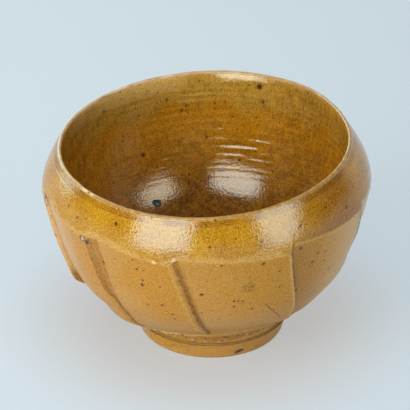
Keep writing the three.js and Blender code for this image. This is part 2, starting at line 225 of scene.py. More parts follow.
# The bowl's body is stoneware, thrown on the wheel and cut while leather hard: ten slices are taken
# off its side with a knife, each starting a step deep behind the last. Heights and radii here are
# of the glazed face, in millimetres, and the clay lies a coat's thickness under it.
foot_height = 7.2
facet_edge_radius = 38.1
facet_edge_height = 16.2
facet_rise = 45.8
belly_radius = 62.95
facet_lower_pull = (14.9, 11.6)
facet_upper_pull = (-5.9, -30)
belly_height = facet_edge_height + facet_rise
uncut_proud = 1
uncut_drop = 8
shoulder_pull = (0.2, 5.5)
lip_radius = 57.2
lip_height = 78.5
lip_round = 0.9
lip_edge_height = lip_height - lip_round
lip_thickness = 1.6
cut_bite = 1.5
cut_fade = 3
edge_softness = 0.3
mouth_oval = 0.043
mouth_square = 0.006
oval_growth = 3
lean_angle = math.radians(2.2)
set_back = 1.7
clay_depth = 0.5
edge_wander = 0.16
heel_above, heel_below = 4.5, 1.4
edge_swells = ((-44, 2.6, 15), (48, 2.2, 15))
swell_height, swell_spread = 19.5, 5.5
flat_height, flat_spread, flat_depth = 38.2, 8, 1.5
flat_from, flat_to = 50, 96
back_presses = ((193.4, -0.0151, 20), (136.3, 0.0237, 16.2))
back_drop = 0.69
notch_angle, notch_width, notch_depth = -62, 14, 1.5
notch_height, notch_top = 22.5, 29.2
side_fullness, side_height, side_spread = 0.0095, 67, 7

# Each cut: its angle from the front at the belly, its drift to the right and how late it drifts,
# # how far its proud edge stands out, the step's depth and the width of its wall, both at top and
# # foot, how much of the step is left where the knife went in, how far its heel sticks out and how
# # high up, and at what height the step ends. Then how pale its edge has fired, how far across the
# # wall the dark glaze and painted shade begin, and how dark they are at top and foot.
cut_terms = ("angle", "slant", "bow", "out", "depth", "wall", "entry", "heel", "heel_height", "end",
             "light", "start", "dark")
cut_values = [
    (-75.4, 11, 1, -0.2, (1.7, 1.6), (2.0, 1.8), 0.9, 1.1, 31.8, 28, 0, 0.35, (0.45, 0.5)),
    (-45.6, 7, 1, -0.3, (1.6, 1.3), (6.8, 0.9), 0.55, 0, 20.2, 16.2, 0, 0, (0.52, 1)),
    (-12.6, 8.8, 1, 0.4, (1.6, 1.9), (3.6, 3.0), 0.6, 0, 20.2, 16.2, 0.4, 0.32, (0.68, 1)),
    (28.5, 13, 1.5, 0.7, (1.4, 1.1), (1.7, 1.6), 0.9, 0.3, 20.2, 16.2, 0.8, 0.22, (0.85, 0.75)),
    (66.5, 11, 1, 0.6, (1.0, 1.4), (2.0, 1.8), 0.7, 0.6, 26, 16.2, 0.2, 0.1, (0.9, 0.9)),
    (103, 9, 1.2, 0.5, (1.9, 1.4), (2.8, 2.2), 0.8, 0.4, 20.2, 16.2, 0.4, 0.2, (0.6, 0.9)),
    (139, 10, 1, 0.1, (1.5, 1.8), (2.4, 2.6), 0.7, 0.3, 20.2, 16.2, 0.5, 0.3, (0.7, 0.8)),
    (175, 8.5, 1.3, -0.1, (2.1, 1.5), (3.4, 2.2), 0.8, 0.4, 20.2, 16.2, 0.2, 0.1, (0.6, 0.9)),
    (212, 9.5, 1, 0.2, (1.4, 1.6), (2.2, 2.4), 0.7, 0.3, 20.2, 16.2, 0.6, 0.25, (0.8, 0.8)),
    (248, 10.5, 1.1, -0.3, (1.8, 2.0), (3.0, 2.6), 0.8, 0.4, 20.2, 16.2, 0.3, 0.3, (0.6, 0.9))]
cuts = [dict(zip(cut_terms, values)) for values in cut_values]
wall_columns = 14
facet_columns = 72
facet_rows = 116
curve_points = 400


def smooth(value, low, high):
    """0 below low, 1 above high, and between them the S-shaped rise 3t^2 - 2t^3."""
    t = np.clip((value - low) / (high - low), 0, 1)
    return t * t * (3 - 2 * t)


def mix(a, b, t):
    return a + (b - a) * t


def bezier(*points, count=curve_points):
    """Points along a curve bent by its handles: the sum of binomial(n, k) t^k (1-t)^(n-k) P_k."""
    t = np.linspace(0, 1, count)[:, None]
    n = len(points) - 1
    return sum(math.comb(n, k) * t**k * (1 - t) ** (n - k) * np.array(p, float)
               for k, p in enumerate(points))


def pulled(point, pull):
    return (point[0] + pull[0], point[1] + pull[1])


facet_edge = (facet_edge_radius, facet_edge_height)
belly = (belly_radius, belly_height)
lip_edge = (lip_radius, lip_edge_height)
cut_curve = bezier(facet_edge, pulled(facet_edge, facet_lower_pull),
                   pulled(belly, facet_upper_pull), belly)
shoulder_curve = bezier(pulled(belly, (uncut_proud, -uncut_drop)),
                        pulled(belly, shoulder_pull), lip_edge)


def radius_on(curve, height):
    """The radius of a rising curve at each height. Past the top it runs on straight."""
    r, z = curve[:, 0], curve[:, 1]
    slope = (r[-1] - r[-2]) / (z[-1] - z[-2])
    return np.interp(height, z, r) + np.maximum(height - z[-1], 0) * slope


def ripple(points, wavelength, count, seed):
    """A smooth random field between about -1 and 1: the sum of sine waves in random directions, all
    of about one wavelength, in millimetres."""
    random = np.random.default_rng(seed)
    ways = random.normal(size=(count, 3))
    ways /= np.linalg.norm(ways, axis=1)[:, None]
    ways *= 2 * math.pi / (wavelength * random.uniform(0.7, 1.5, count))[:, None]
    phases = random.uniform(0, 2 * math.pi, count)
    return sum(np.sin(points @ way + phase) for way, phase in zip(ways, phases)) / math.sqrt(count)


# A column runs down the bowl along a step. It has its share of the way across the cut to the next
# step, and of the way along the wall of its own step
across = np.concatenate([np.zeros(wall_columns), np.linspace(0, 1, facet_columns + 1)])
along_wall = np.concatenate([np.linspace(0, 1, wall_columns + 1)[:-1], np.ones(facet_columns + 1)])
columns_per_cut = len(across) - 1


def over_cuts(key, part=None):
    """One number for each column of the whole bowl: a value of its cut, and of the next cut."""
    values = [cut[key] if part is None else cut[key][part] for cut in cuts]
    here = np.repeat(values, columns_per_cut)
    after = np.repeat(np.roll(values, -1), columns_per_cut)
    return np.array(here, float), np.array(after, float)


column_across = np.tile(across[:-1], len(cuts))
column_wall = np.tile(along_wall[:-1], len(cuts))
here_angle, after_angle = over_cuts("angle")
column_angle = here_angle + (after_angle - here_angle) % 360 * column_across
column_even = cuts[0]["angle"] + 360 * np.arange(len(column_angle)) / len(column_angle)
column_share = smooth(column_wall**0.8, 0, 1) * (1 - column_across) ** cut_bite


def turn_between(angle, start):
    """The angle from a start, between -180 and 180 degrees."""
    return (angle - start + 180) % 360 - 180


def bell(way, spread):
    """1 at no distance and falling off to either side: e to the power of -(way / spread)^2."""
    return np.exp(-(way / spread) ** 2)


def edge_swell(height):
    """How far the lower edge hangs out in each column: a bell round each of two angles, times a
    bell of the height, less a notch under the first step's heel."""
    foot = column_angle + mix(*over_cuts("slant"), column_across)
    out = sum(rise * bell(turn_between(foot, angle), wide) for angle, rise, wide in edge_swells)
    notch = notch_depth * bell(turn_between(foot, notch_angle), notch_width)
    notch = notch * smooth(height, notch_height - 2.5, notch_height + 2.5)
    notch = notch * (1 - smooth(height, notch_top - 1.6, notch_top + 1.6))
    return out * bell(height - swell_height, swell_spread) - notch


def heel_at(height, heels, heel_heights):
    """How far a step's heel sticks out: it swells slowly, coming down, and ends abruptly."""
    above = height - heel_heights
    return heels * bell(above, np.where(above > 0, heel_above, heel_below))


def facet_radius(height):
    """The cut face at heights of shape (rows, columns): the cut curve, pushed out by the proud
    edges on either side and taken in by the step's depth times the column's share of it."""
    up = np.clip((height - facet_edge_height) / facet_rise, 0, 1)
    out = mix(*over_cuts("out"), column_across) * up
    depth = mix(over_cuts("depth", 1)[0], over_cuts("depth", 0)[0], up)
    depth = depth * mix(1, over_cuts("entry")[0], smooth(height, belly_height - 9, belly_height))
    end = over_cuts("end")[0]
    depth = depth * smooth(height, end, end + cut_fade)
    here_heel, after_heel = (heel_at(height, *pair)
                             for pair in zip(over_cuts("heel"), over_cuts("heel_height")))
    heel = np.where(column_across > 0, after_heel * column_across**6,
                    here_heel * (1 - smooth(column_wall, 0, 1)))
    flat = bell(height - flat_height, flat_spread) * flat_depth
    flat = flat * smooth(column_angle, flat_from, flat_from + 20)
    flat = flat * (1 - smooth(column_angle, flat_to, flat_to + 6))
    radius = radius_on(cut_curve, height) + out - depth * column_share
    return radius + heel + edge_swell(height) - flat


def cut_tops():
    """The height in each column where the cut face comes out through the shoulder, by halving."""
    low = np.full(len(column_angle), float(belly_height - uncut_drop))
    high = np.full(len(column_angle), float(lip_edge_height))
    for _ in range(30):
        middle = (low + high) / 2
        inside = facet_radius(middle[None])[0] < radius_on(shoulder_curve, middle)
        low = np.where(inside, middle, low)
        high = np.where(inside, high, middle)
    return low


column_top = cut_tops()


def column_turn(radius, height):
    """Each column's angle at a height: it follows the steps over the facets and evens out towards
    the lip and the foot, where the bowl is round."""
    up = np.clip((height - facet_edge_height) / facet_rise, 0, 1)
    down = 1 - up
    here_slant, after_slant = over_cuts("slant")
    here_bow, after_bow = over_cuts("bow")
    slant = mix(here_slant * down**here_bow, after_slant * down**after_bow, column_across)
    wall = mix(over_cuts("wall", 1)[0], over_cuts("wall", 0)[0], up)
    stand = np.where(column_across > 0, 1 - column_across, column_wall)
    reach = np.maximum(radius, facet_edge_radius)
    wanders = [ripple(np.stack(np.broadcast_arrays(height, 40 * angle, 0 * height), -1), 2.6, 10, 21)
               for angle in (here_angle, after_angle)]
    uneven = mix(*wanders, column_across) * edge_wander
    aside = np.degrees((wall * stand + uneven) / reach)
    turned = column_angle + slant + aside
    evened = np.where(height > belly_height,
                      smooth(height, column_top + 0.5, lip_edge_height),
                      1 - smooth(height, foot_height, facet_edge_height - 0.8))
    return mix(turned, column_even, evened)


def shaped(radius, angle, height):
    """A wheel-true point as the hand left it: pressed oval by 1 + g (a cos 2t + b cos 4t), where g
    grows with the third power of height, pushed in and out at the back by a bell round two angles,
    fuller at the sides, let down at the back, then leaning to the left and set back on its foot."""
    turn = np.radians(angle)
    grown = np.clip((height - foot_height) / (lip_height - foot_height), 0, 1) ** oval_growth
    press = mouth_oval * np.cos(2 * turn) + mouth_square * np.cos(4 * turn)
    press = press + sum(by * bell(turn_between(angle, at), wide) for at, by, wide in back_presses)
    full = side_fullness * np.sin(turn) ** 4 * bell(height - side_height, side_spread)
    pressed = radius * (1 + grown * press + full)
    drop = back_drop * grown * smooth(-np.cos(turn), 0.2, 0.9)
    x = pressed * np.sin(turn)
    y = -pressed * np.cos(turn)
    touch = smooth(height, foot_height, facet_edge_height)
    lean = lean_angle * touch
    return np.stack([x - lean * (height - foot_height), y + set_back * touch,
                     height - drop + lean * x], -1)


def grid_faces(rows, columns, wraps, start=0):
    """Quads between the neighbours in a grid of points, rows by columns, as an array of corners."""
    r = np.arange(rows - 1)[:, None]
    c = np.arange(columns if wraps else columns - 1)[None]
    d = (c + 1) % columns
    corners = [r * columns + c, r * columns + d, (r + 1) * columns + d, (r + 1) * columns + c]
    return np.stack(corners, -1).reshape(-1, 4) + start


sharp_angle = math.radians(50)


def make_piece(name, points, quads, triangles, attributes):
    """A mesh object at the origin, from points in millimetres about the foot ring's middle."""
    mesh = bpy.data.meshes.new(name)
    faces = [*quads.tolist(), *np.asarray(triangles).tolist()]
    mesh.from_pydata(np.asarray(points) * mm + ring_middle, [], faces)
    mesh.validate()
    mesh.shade_smooth()
    mesh.set_sharp_from_angle(angle=sharp_angle)
    for key, values in attributes.items():
        layer = mesh.attributes.new(key, "FLOAT", "POINT")
        layer.data.foreach_set("value", np.asarray(values, np.float32).ravel())
    piece = bpy.data.objects.new(name, mesh)
    bpy.context.scene.collection.objects.link(piece)
    return piece


def fan(a, b, middle):
    """Triangles from each pair of neighbours on a ring to the point in its middle."""
    return np.stack([a, b, np.full_like(a, middle)], -1)


def make_coat(name, face, back, attributes, wraps, closed_at_axis=False):
    """A closed coat from a grid of its glazed face and a grid of its back. Where it goes all the
    way round, the two grids may have different rows; attributes are given for the face."""
    rows, columns = face.shape[:2]
    back_rows = back.shape[0]
    points = np.concatenate([face.reshape(-1, 3), back.reshape(-1, 3)])
    shift = rows * columns
    c = np.arange(columns if wraps else columns - 1)
    d = (c + 1) % columns
    high, high_back = (rows - 1) * columns, shift + (back_rows - 1) * columns
    quads = [grid_faces(rows, columns, wraps),
             grid_faces(back_rows, columns, wraps, shift)[:, ::-1],
             np.stack([d, c, shift + c, shift + d], -1)]
    triangles = ()
    if closed_at_axis:
        points = np.concatenate([points, face[-1].mean(0)[None], back[-1].mean(0)[None]])
        middle = len(points) - 2
        triangles = np.concatenate([fan(high + c, high + d, middle),
                                    fan(high_back + d, high_back + c, middle + 1)])
    else:
        quads.append(np.stack([high + c, high + d, high_back + d, high_back + c], -1))
    if not wraps:
        r = np.arange(rows - 1) * columns
        n = r + columns
        end = columns - 1
        quads.append(np.stack([r, n, shift + n, shift + r], -1))
        quads.append(np.stack([n + end, r + end, shift + r + end, shift + n + end], -1))
    spare = len(points) - shift
    padded = {}
    for key, values in attributes.items():
        values = np.broadcast_to(values, (rows, columns)).ravel()
        padded[key] = np.concatenate([values, np.full(spare, float(values.mean()))])
    return make_piece(name, points, np.concatenate(quads), triangles, padded)


def outward(points):
    """The unit vector straight out from the axis at each point, and shorter close to the axis."""
    out = points * np.array([1, 1, 0])
    return out / np.maximum(np.linalg.norm(out, axis=-1, keepdims=True), 1)


def relief(points, broad, fine):
    """The gentle unevenness of a hand-made wall, pushed straight out from the axis."""
    waves = broad * ripple(points, 15, 14, 3) + fine * ripple(points, 3.6, 18, 5)
    return outward(points) * waves[..., None]


# Beads of glaze on the edge between cut and shoulder: angle, height, radius and rise of each
glaze_bumps = [(-12.4, 61.9, 0.8, 0.16), (-10.2, 62.9, 0.9, 0.34), (-17.0, 61.1, 0.8, 0.32),
               (-46.2, 62.5, 0.6, 0.3), (-75.8, 65.2, 0.7, 0.35)]


def outer_grid(heights):
    """Points on the glazed outside at heights of shape (rows, columns), with the angle that they
    have on the wheel. The cut and the thrown wall meet in an edge that the glaze has softened, and
    small bumps of it stand there, each a bell round its own angle and height."""
    cut = facet_radius(heights)
    thrown = radius_on(shoulder_curve, heights)
    gap = (thrown - cut) / edge_softness
    radius = np.where(heights < belly_height - uncut_drop, cut,
                      cut - edge_softness * np.logaddexp(0, -gap))
    angle = column_turn(radius, heights)
    for bump_angle, bump_height, wide, rise in glaze_bumps:
        turn = np.radians(turn_between(angle, bump_angle)) * belly_radius
        radius = radius + rise * np.exp(-(turn**2 + (heights - bump_height) ** 2) / wide**2)
    points = shaped(radius, angle, heights)
    return points + relief(points, 0.03, 0.008), angle


def inset(points, depth):
    """The same grid moved towards the bowl's axis, for the back of a coat on the outside."""
    return points - outward(points) * depth


def some_rows(grid, first, last, count):
    """A few rows of a grid, evenly spaced from the first to the last of them."""
    return grid[np.linspace(first, last, count).astype(int)]


# How far a degree of turn and a millimetre of height go along the outside, and how far a mark's
# middle may be from a grid that still carries it, in millimetres
degree_way, rise_way = 1.05, 1.15
off_the_grid = 2


def marks(points, angles, heights, spots):
    """Round marks on a grid, 1 at their middle and 0 past their radius. Each is given as an angle,
    a height and a radius, and its middle is the nearest point of the grid."""
    marked = np.zeros(points.shape[:2])
    for angle, height, radius in spots:
        far = np.hypot(turn_between(angles, angle) * degree_way, heights - height)
        nearest = np.unravel_index(np.argmin(far), far.shape)
        if far[nearest] > off_the_grid:
            continue
        distance = np.linalg.norm(points - points[nearest], axis=-1)
        marked = np.maximum(marked, 1 - smooth(distance, radius * 0.6, radius * 1.3))
    return marked


coat_depth = 0.45

# Each facet carries its own field of glaze, thin and satin. It ends on the sharp edges round it: it
# goes up the wall of the step on its left, across the cut and out to the next proud edge.
# The pink is also a painted sheen, the pool colour also painted shade, and the break colour also
# painted glints on the foot's beads
satin_golden = (0.525, 0.234, 0.024, 1)
satin_pink_and_sheen = (0.575, 0.284, 0.074, 1)
satin_pool_and_shade = (0.22, 0.078, 0.003, 1)
satin_break_and_glint = (0.70, 0.40, 0.10, 1)


def speck_mask(tree, place, cell, size, share):
    """Iron specks: 1 inside small balls scattered one to a cell, of random size up to a radius. The
    share is how many of the cells have one."""
    cells = node(tree, "TexVoronoi", {"feature": "F1"}, Vector=place, Scale=1 / cell, Randomness=1)
    chance = node(tree, "SeparateColor", Color=cells.outputs["Color"]).outputs["Red"]
    radius = ranged(tree, chance, 1 - share, 1, 0, size / cell)
    inside = worked(tree, "SUBTRACT", radius, cells.outputs["Distance"])
    return ranged(tree, inside, 0, size / cell * 0.3)


def attribute(tree, name):
    return node(tree, "Attribute", {"attribute_name": name}).outputs["Fac"]


def noise(tree, place, scale, detail, roughness=0.5):
    return node(tree, "TexNoise", Vector=place, Scale=scale, Detail=detail,
                Roughness=roughness).outputs["Fac"]


def scars(tree, place):
    """A patch of crackle and a scratch. The attribute far is the distance from the patch's middle,
    and scratch the distance to either side of the scratch, both in millimetres."""
    cells = node(tree, "TexVoronoi", {"feature": "DISTANCE_TO_EDGE"}, Vector=place,
                 Scale=1 / (1.25 * mm))
    crack = ranged(tree, cells.outputs["Distance"], 0.03, 0.14, 0.6, 0)
    patch = ranged(tree, attribute(tree, "far"), 1.6, 3.4, 1, 0)
    beside = worked(tree, "ABSOLUTE", attribute(tree, "scratch"), 0)
    scratch = ranged(tree, beside, 0.06, 0.34, 0.75, 0)
    return worked(tree, "MAXIMUM", worked(tree, "MULTIPLY", crack, patch), scratch)


cloud_scale, cloud_swing = 85, 0.28
grain_scale, peel_scale = 1800, 1250
# The paler grain also stands in for a painted sparkle of tiny highlights; the pale crumb colour is
# also used for painted highlights, glints and sheen
pale_grain_and_sparkle = (0.90, 0.62, 0.24, 1)
dark_grain = (0.06, 0.018, 0.001, 1)
iron = (0.045, 0.016, 0.005, 1)
crumb_and_highlight = (0.82, 0.64, 0.42, 1)


def glaze_material(name, first, second, pool_and_shade, edge, grain, sparkle, peel, gloss, satin_gloss=None,
                   speck=0.8, large_share=0.4, scarred=False, ior=1.52, sheen_tint=(1, 1, 1, 1)):
    """A fired glaze. Two colours shade into each other by the attribute tint, then the deep one of the
    pools, which also carries painted shade, and the pale one of the edges, which also carries painted
    glints; over all lie a fine grain of darker dots and of paler dots that are partly a painted
    sparkle, iron specks, and the dark and pale marks that the piece carries, among them painted
    highlights and sheen. Gloss is the roughness."""
    material, tree, shader = new_material(name)
    place = node(tree, "TexCoord").outputs["Object"]
    cloudy = ranged(tree, noise(tree, place, cloud_scale, 3, 0.6), 0.3, 0.7, -cloud_swing, cloud_swing)
    tinted = worked(tree, "ADD", attribute(tree, "tint"), cloudy, use_clamp=True)
    colour = blend_colour(tree, tinted, first, second)
    colour = blend_colour(tree, attribute(tree, "pool_and_shade"), colour, pool_and_shade)
    colour = blend_colour(tree, attribute(tree, "break_and_glint"), colour, edge)
    fine = noise(tree, place, grain_scale, 2, 0.7)
    colour = blend_colour(tree, ranged(tree, fine, 0.5, 0.68, 0, sparkle), colour, pale_grain_and_sparkle)
    colour = blend_colour(tree, ranged(tree, fine, 0.5, 0.32, 0, grain), colour, dark_grain)
    small = speck_mask(tree, place, 1.75 * mm, 0.4 * mm, 0.7)
    large = speck_mask(tree, place, 3.3 * mm, 0.7 * mm, large_share)
    specks = worked(tree, "MULTIPLY", worked(tree, "MAXIMUM", small, large), speck)
    marked = worked(tree, "MAXIMUM", specks, attribute(tree, "dark"))
    if scarred:
        marked = worked(tree, "MAXIMUM", marked, scars(tree, place))
    colour = blend_colour(tree, marked, colour, iron)
    colour = blend_colour(tree, attribute(tree, "pale"), colour, crumb_and_highlight)
    tree.links.new(colour, shader.inputs["Base Color"])
    shader.inputs["Roughness"].default_value = gloss
    shader.inputs["IOR"].default_value = ior
    shader.inputs["Specular Tint"].default_value = sheen_tint
    if satin_gloss:
        dulled = ranged(tree, attribute(tree, "satin"), 0, 1, gloss, satin_gloss)
        tree.links.new(dulled, shader.inputs["Roughness"])
    skin = noise(tree, place, peel_scale, 2)
    bump = node(tree, "Bump", Height=skin, Strength=1, Distance=peel)
    tree.links.new(bump.outputs["Normal"], shader.inputs["Normal"])
    return material


satin_glaze = glaze_material(
    "satin_glaze", satin_pink_and_sheen, satin_golden, satin_pool_and_shade, satin_break_and_glint, grain=0.32, sparkle=0.2,
    peel=6e-5, gloss=0.31, large_share=0.3, scarred=True, ior=1.27, sheen_tint=(1, 0.92, 0.76, 1))

# Iron spots, pits and scars on the facets: angle, height and radius of each
facet_spots = [
    (-23.1, 49.1, 0.75), (-2.2, 46.1, 0.75), (-24.0, 56.8, 0.55), (-16.9, 40.1, 0.55),
    (-13.7, 35.5, 0.5), (4.8, 61.0, 0.55), (18.6, 59.3, 0.65), (33.1, 60.8, 0.7),
    (39.7, 51.4, 0.6), (41.1, 54.8, 0.6), (49.7, 43.1, 0.6), (11.0, 41.8, 0.5), (-2.5, 35.7, 0.5),
    (3.9, 31.7, 0.45), (-72.9, 49.6, 0.7), (-39.0, 54.0, 0.6), (-13.3, 33.0, 0.5),
    (-23.2, 38.9, 0.45), (84, 50, 0.7), (101, 40, 0.6), (124, 56, 0.6), (152, 47, 0.7),
    (160, 33, 0.5), (190, 55, 0.6), (205, 41, 0.7), (231, 50, 0.6)]
facet_width = 34
scarred_facet = 2
edge_lined = 3
crackle_middle = (14.4, 48.7)
scratch_ends = ((21.3, 37.7), (33.5, 23.1))
out_of_reach = 99.0
pitted_tops = ((-45.6, 62.0), (-75.2, 64.6))


def pitting(points, angles, heights):
    """The rough spots where the knife went in at two steps: dark pits with pale crumbs in them."""
    dark = np.zeros(points.shape[:2])
    pale = np.zeros(points.shape[:2])
    for angle, height in pitted_tops:
        pits = [(angle - 1.0, height + 0.4, 0.9), (angle + 0.3, height + 1.0, 0.6),
                (angle + 1.2, height - 0.4, 1.0), (angle - 0.3, height - 0.9, 0.55),
                (angle + 2.4, height + 0.9, 0.45), (angle + 3.6, height + 0.4, 0.4)]
        crumbs = [(angle - 0.4, height + 0.5, 0.55), (angle + 0.6, height - 0.9, 0.4)]
        dark = np.maximum(dark, 0.85 * marks(points, angles, heights, pits))
        pale = np.maximum(pale, 0.55 * marks(points, angles, heights, crumbs))
    return dark * (1 - pale), pale


def scratch_distance(angles, heights):
    """How far to either side of the scratch each point lies, with a wave along it. Past its ends,
    four times the way past is added."""
    start_angle, start_height = scratch_ends[0]
    way = np.subtract(scratch_ends[1], scratch_ends[0]) * (degree_way, rise_way)
    long = np.hypot(*way)
    way = way / long
    aside, up = (angles - start_angle) * degree_way, (heights - start_height) * rise_way
    beside = aside * way[1] - up * way[0]
    along = aside * way[0] + up * way[1]
    beyond = np.maximum(np.maximum(-along, along - long), 0)
    return beside + 0.12 * np.sin(along * 1.1) + np.sign(beside) * 4 * beyond


between = np.linspace(0, 1, facet_rows)[:, None]
facet_heights = mix(facet_edge_height, column_top[None], between)
facet_points, facet_angles = outer_grid(facet_heights)
facet_angles = np.broadcast_to(facet_angles, facet_heights.shape)
wall_scale = np.concatenate([along_wall[:wall_columns], 1 + 12 * across[wall_columns:]])
for number, cut in enumerate(cuts):
    pick = (np.arange(columns_per_cut + 1) + number * columns_per_cut) % len(column_angle)
    face = facet_points[:, pick]
    heights = facet_heights[:, pick]
    angles = facet_angles[:, pick]
    from_foot = (heights - facet_edge_height) / facet_rise
    after = cuts[(number + 1) % len(cuts)]

    # Dark glaze and painted shade: pooled glaze in the corner of the step with painted shade of its
    # # wall, two streaks where the wall is wide, a painted shadow on the heel, and painted shade down
    # the
    # # left of the fourth cut and along the lower edge
    up = smooth(from_foot, 0.05, 0.9)
    high_up = smooth(from_foot, 0.35, 0.55)
    begin = cut["start"] + 0.5 * (1 - high_up) * (cut["start"] == 0)
    past = np.maximum(wall_scale - begin - 0.4, 0)
    groove = smooth(wall_scale, begin, begin + 0.28) * bell(past, mix(0.24, 0.42, up))
    pool_and_shade = groove * mix(cut["dark"][1], cut["dark"][0], up)
    streaks = bell(wall_scale - 0.1, 0.08) + bell(wall_scale - 0.92, 0.1)
    pool_and_shade = pool_and_shade + 0.45 * streaks * cut["dark"][1] * high_up * (cut["start"] == 0)
    pool_and_shade = pool_and_shade * (1 + 0.12 * ripple(face, 2.4, 12, 23))
    heel_shade = bell(heights - cut["heel_height"] - 1.2, 4.2) * smooth(wall_scale, 0.1, 0.35)
    pool_and_shade = np.maximum(pool_and_shade, min(cut["heel"], 1) * heel_shade * bell(past, 0.3))
    near_side_shade = smooth(angles, 28, 33) * bell(across * facet_width, 11) * (angles < 66)
    pool_and_shade = pool_and_shade + 0.42 * near_side_shade
    above_edge = heights - facet_edge_height
    pool_and_shade = np.clip(pool_and_shade + 0.22 * bell(above_edge, 3), 0, 1)

    # The glaze breaks pale on the proud edges at either side, at the top and along the lower edge
    to_next = (1 - across) * facet_width
    proud = cut["light"] * bell(wall_scale, 0.2)
    next_proud = after["light"] * bell(to_next, 0.75)
    crease = mix(0.08, 0.4, smooth(angles, 24, 30)) * bell(column_top[pick] - heights, 0.6)
    lower = mix(0.3, 0.75, bell(angles + 24, 20)) * bell(above_edge, 0.5)
    broken = np.maximum.reduce(np.broadcast_arrays(proud, next_proud, crease, lower))

    # The cuts at both sides, as the camera sees them, are tinted pinker and carry a pale bloom: a
    # # painted sheen, standing for the reflection of the pale backdrop
    pinker_sheen = smooth(angles, 40, 66) * (angles < 110)
    pinker_sheen = pinker_sheen + 0.8 * (1 - smooth(angles, -70, -46)) * (angles > -110)
    # Painted sheen also makes each cut pinker towards its left side and its foot, over the golden tone
    tint = 0.4 + 0.5 * smooth(across, 0.1, 0.8) + 0.2 * smooth(from_foot, 0.2, 0.9) - 0.7 * pinker_sheen
    left_painted_sheen = smooth(from_foot, 0.2, 0.75) * (1 - smooth(angles, -66, -48)) * (angles > -100)
    right_painted_sheen = smooth(angles, 38, 64) * (1 - smooth(angles, 100, 120))
    painted_sheen = 0.2 * left_painted_sheen + 0.28 * right_painted_sheen * smooth(wall_scale, 0.7, 1.1)

    # One cut has a patch of crackle and a scratch, and one a dark line on its proud edge
    scratch = far = np.full(1, out_of_reach)
    if number == scarred_facet:
        scratch = scratch_distance(angles, heights)
        far = np.hypot((angles - crackle_middle[0]) * degree_way, heights - crackle_middle[1])
        far = far + 0.5 * ripple(face, 2.2, 10, 27)
    edge_line = bell(to_next, 2.6) * smooth(from_foot, 0.35, 0.5) * (number == edge_lined)
    edge_line = 0.95 * edge_line * smooth(ripple(face, 3, 12, 29), -1.6, -0.4)
    pits, crumbs = pitting(face, angles, heights)
    spots = 0.9 * marks(face, angles, heights, facet_spots)
    dark = np.maximum.reduce([spots, pits, edge_line])
    pale = np.maximum(crumbs, painted_sheen)
    coat = make_coat(f"facet_glaze_{number + 1:02d}", face, inset(face, coat_depth),
                     {"tint": tint, "pool_and_shade": pool_and_shade, "break_and_glint": broken, "dark": dark, "pale": pale,
                      "far": far, "scratch": scratch}, wraps=False)
    coat.data.materials.append(satin_glaze)
    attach(coat, "root")
    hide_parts(f"facet_glaze_{number + 1:02d}")

# The shoulder keeps the thrown wall. Its glaze is thick there and has melted to a glossy golden
# amber, which thins to a satin tan above the cuts and to a pale line where it breaks at the lip.
shoulder_rows = 80
amber_light = (0.52, 0.25, 0.004, 1)
amber_deep = (0.43, 0.185, 0.001, 1)
shoulder_spots = [
    (56.8, 66.4, 0.85), (-31.9, 72.7, 0.8), (1.1, 68.6, 0.55), (33.4, 69.4, 0.6), (-21.9, 76.0, 0.5),
    (46.3, 71.1, 0.5), (-56.3, 70.5, 0.5), (-50.0, 68.9, 0.5), (18.9, 68.2, 0.6), (95, 69, 0.7),
    (130, 66, 0.6), (171, 70, 0.8), (214, 67, 0.6), (251, 72, 0.7)]
lip_grooves = ((0.6, 0.04), (1.25, 0.05), (1.95, 0.05))
amber_glaze = glaze_material(
    "amber_glaze", amber_light, amber_deep, (0.33, 0.12, 0.004, 1), (0.66, 0.40, 0.12, 1),
    grain=0.5, sparkle=0.22, peel=9e-5, gloss=0.08, satin_gloss=0.31)
lip_seam = lip_edge_height + 0.15
shoulder_heights = mix(column_top[None], lip_seam, np.linspace(0, 1, shoulder_rows)[:, None])
shoulder_points, shoulder_angles = outer_grid(shoulder_heights)

# Fine grooves under the lip hold darker glaze. Above the cuts the glaze is thin and satin, with a
# ragged upper limit, but hardly at all above the fourth and fifth cut
below_lip = lip_seam - shoulder_heights
for groove_drop, groove_depth in lip_grooves:
    groove = bell(below_lip - groove_drop, 0.3) * groove_depth
    shoulder_points = inset(shoulder_points, groove[..., None])
shoulder_grid = (shoulder_points, shoulder_angles, shoulder_heights)
above = shoulder_heights - column_top[None]
thinning = 2.6 + 1.1 * ripple(shoulder_points, 9, 12, 31) + 0.5 * ripple(shoulder_points, 2.2, 12, 33)
kept = 1 - 0.88 * smooth(shoulder_angles, 25, 29) + 0.5 * smooth(shoulder_angles, 100, 104)
thinning = np.maximum(thinning * kept, 0.3)
satin = 1 - smooth(above, thinning * 0.35, np.maximum(thinning, 0.6) * 1.3)
pits, crumbs = pitting(*shoulder_grid)
# A painted highlight: two glaze beads at the top of the third step are painted paler
ridge_highlight = marks(*shoulder_grid, [(-17.0, 61.4, 0.9), (-10.2, 63.0, 0.9)])
under_lip = sum(bell(below_lip - drop, 0.21) for drop, _ in lip_grooves)
under_lip = under_lip * (0.75 + 0.35 * ripple(shoulder_points, 7, 12, 37))
